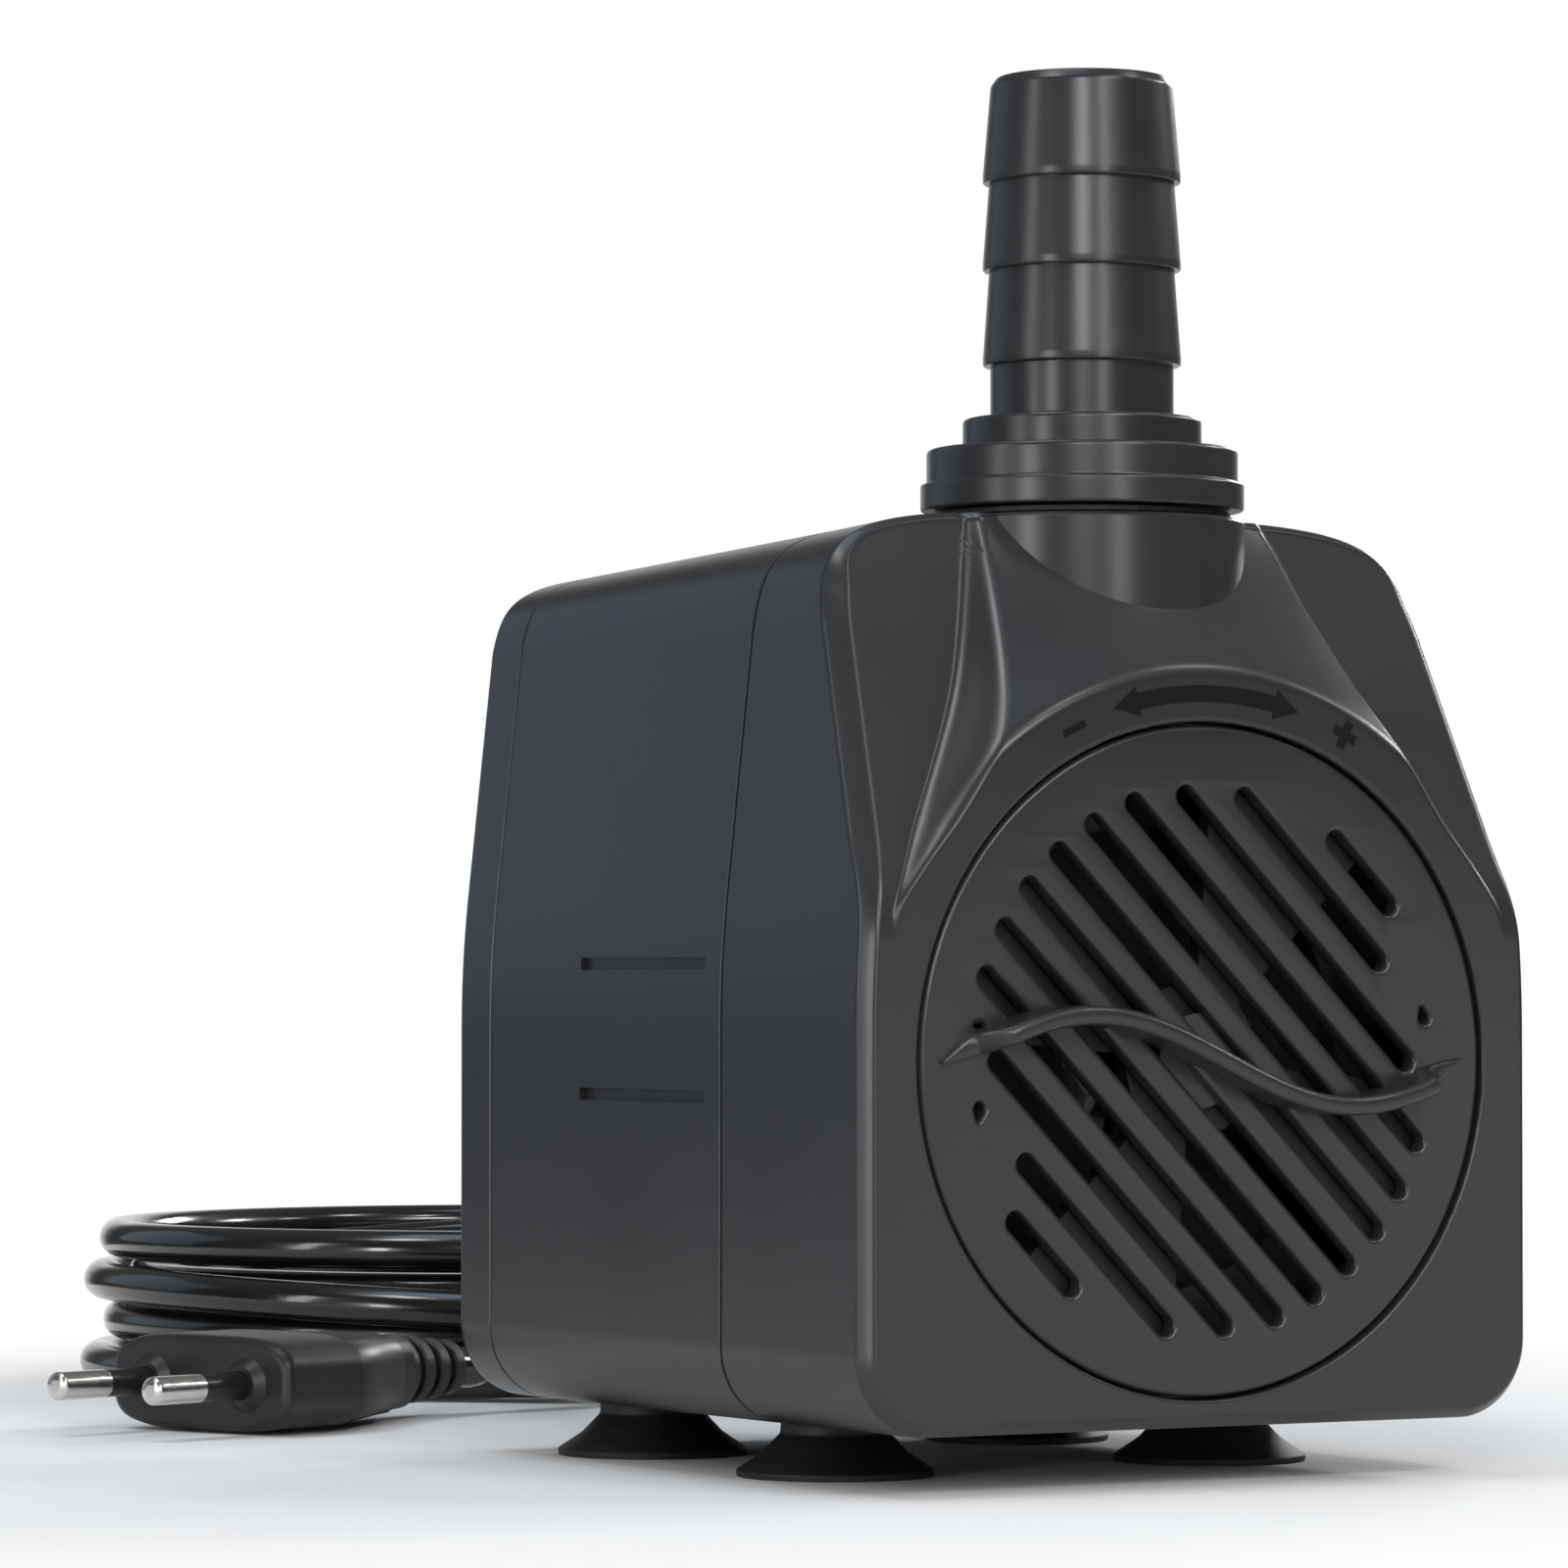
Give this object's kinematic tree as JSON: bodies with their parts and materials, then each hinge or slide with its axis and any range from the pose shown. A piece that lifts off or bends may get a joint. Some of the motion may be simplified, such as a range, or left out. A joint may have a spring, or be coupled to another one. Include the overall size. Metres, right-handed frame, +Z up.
{
  "type": "fountain submersible pump",
  "caption": "Box-shaped submersible pump with slotted flow dial on the front, barbed hose nozzle on top, suction-cup feet and a mains lead with a flat plug.",
  "frame": {"origin": "on the floor plane under the middle of the pump without its cord", "axes": "front with the flow dial faces -Y, +X is right seen from the front, +Z is up along the nozzle"},
  "size_m": [0.1937, 0.3347, 0.1811],
  "materials": {
    "housing": "satin",
    "rubber": "matte",
    "cord": "gloss",
    "plug": "satin",
    "pin": "satin",
    "rotor": "satin",
    "magnet": "matte",
    "ceramic": "gloss",
    "core": "satin",
    "winding": "satin"
  },
  "bodies": {
    "motor": {"motor_housing": "housing", "rear_cover": "housing", "stator_core": "core", "coil_bobbin_left": "rotor", "coil_bobbin_right": "rotor", "winding_left": "winding", "winding_right": "winding", "rear_bush": "rubber", "rotor_shaft": "ceramic", "chamber_seal": "rubber", "suction_cup_front_left": "rubber", "suction_cup_front_right": "rubber", "suction_cup_rear_left": "rubber", "suction_cup_rear_right": "rubber", "cord_gland": "rubber", "cord_lead": "cord", "cord_coil": "cord", "cord_tail": "cord", "plug_body": "plug", "plug_pin_left": "pin", "plug_pin_right": "pin"},
    "front": {"front_housing": "housing", "intake_plate": "housing", "chamber_cover": "housing", "front_bush": "rubber"},
    "dial": {"flow_dial": "housing"},
    "rotor": {"impeller": "rotor", "rotor_magnet": "magnet"},
    "nozzle": {"outlet_nozzle": "housing", "nozzle_seal": "rubber"}
  },
  "joints": [
    {"name": "front_pull_off", "type": "slide", "parent": "motor", "child": "front", "axis": [0, -1, 0], "range_m": [0, 0.05]},
    {"name": "dial_turn", "type": "hinge", "parent": "front", "child": "dial", "pos_m": [0, -0.0495, 0.0537], "axis": [0, -1, 0], "range_deg": [-25, 25]},
    {"name": "rotor_spin", "type": "hinge", "parent": "motor", "child": "rotor", "pos_m": [0, -0.0142, 0.0537], "axis": [0, 1, 0], "continuous": true},
    {"name": "nozzle_pull_off", "type": "slide", "parent": "front", "child": "nozzle", "axis": [0, 0, 1], "range_m": [0, 0.02]}
  ]
}
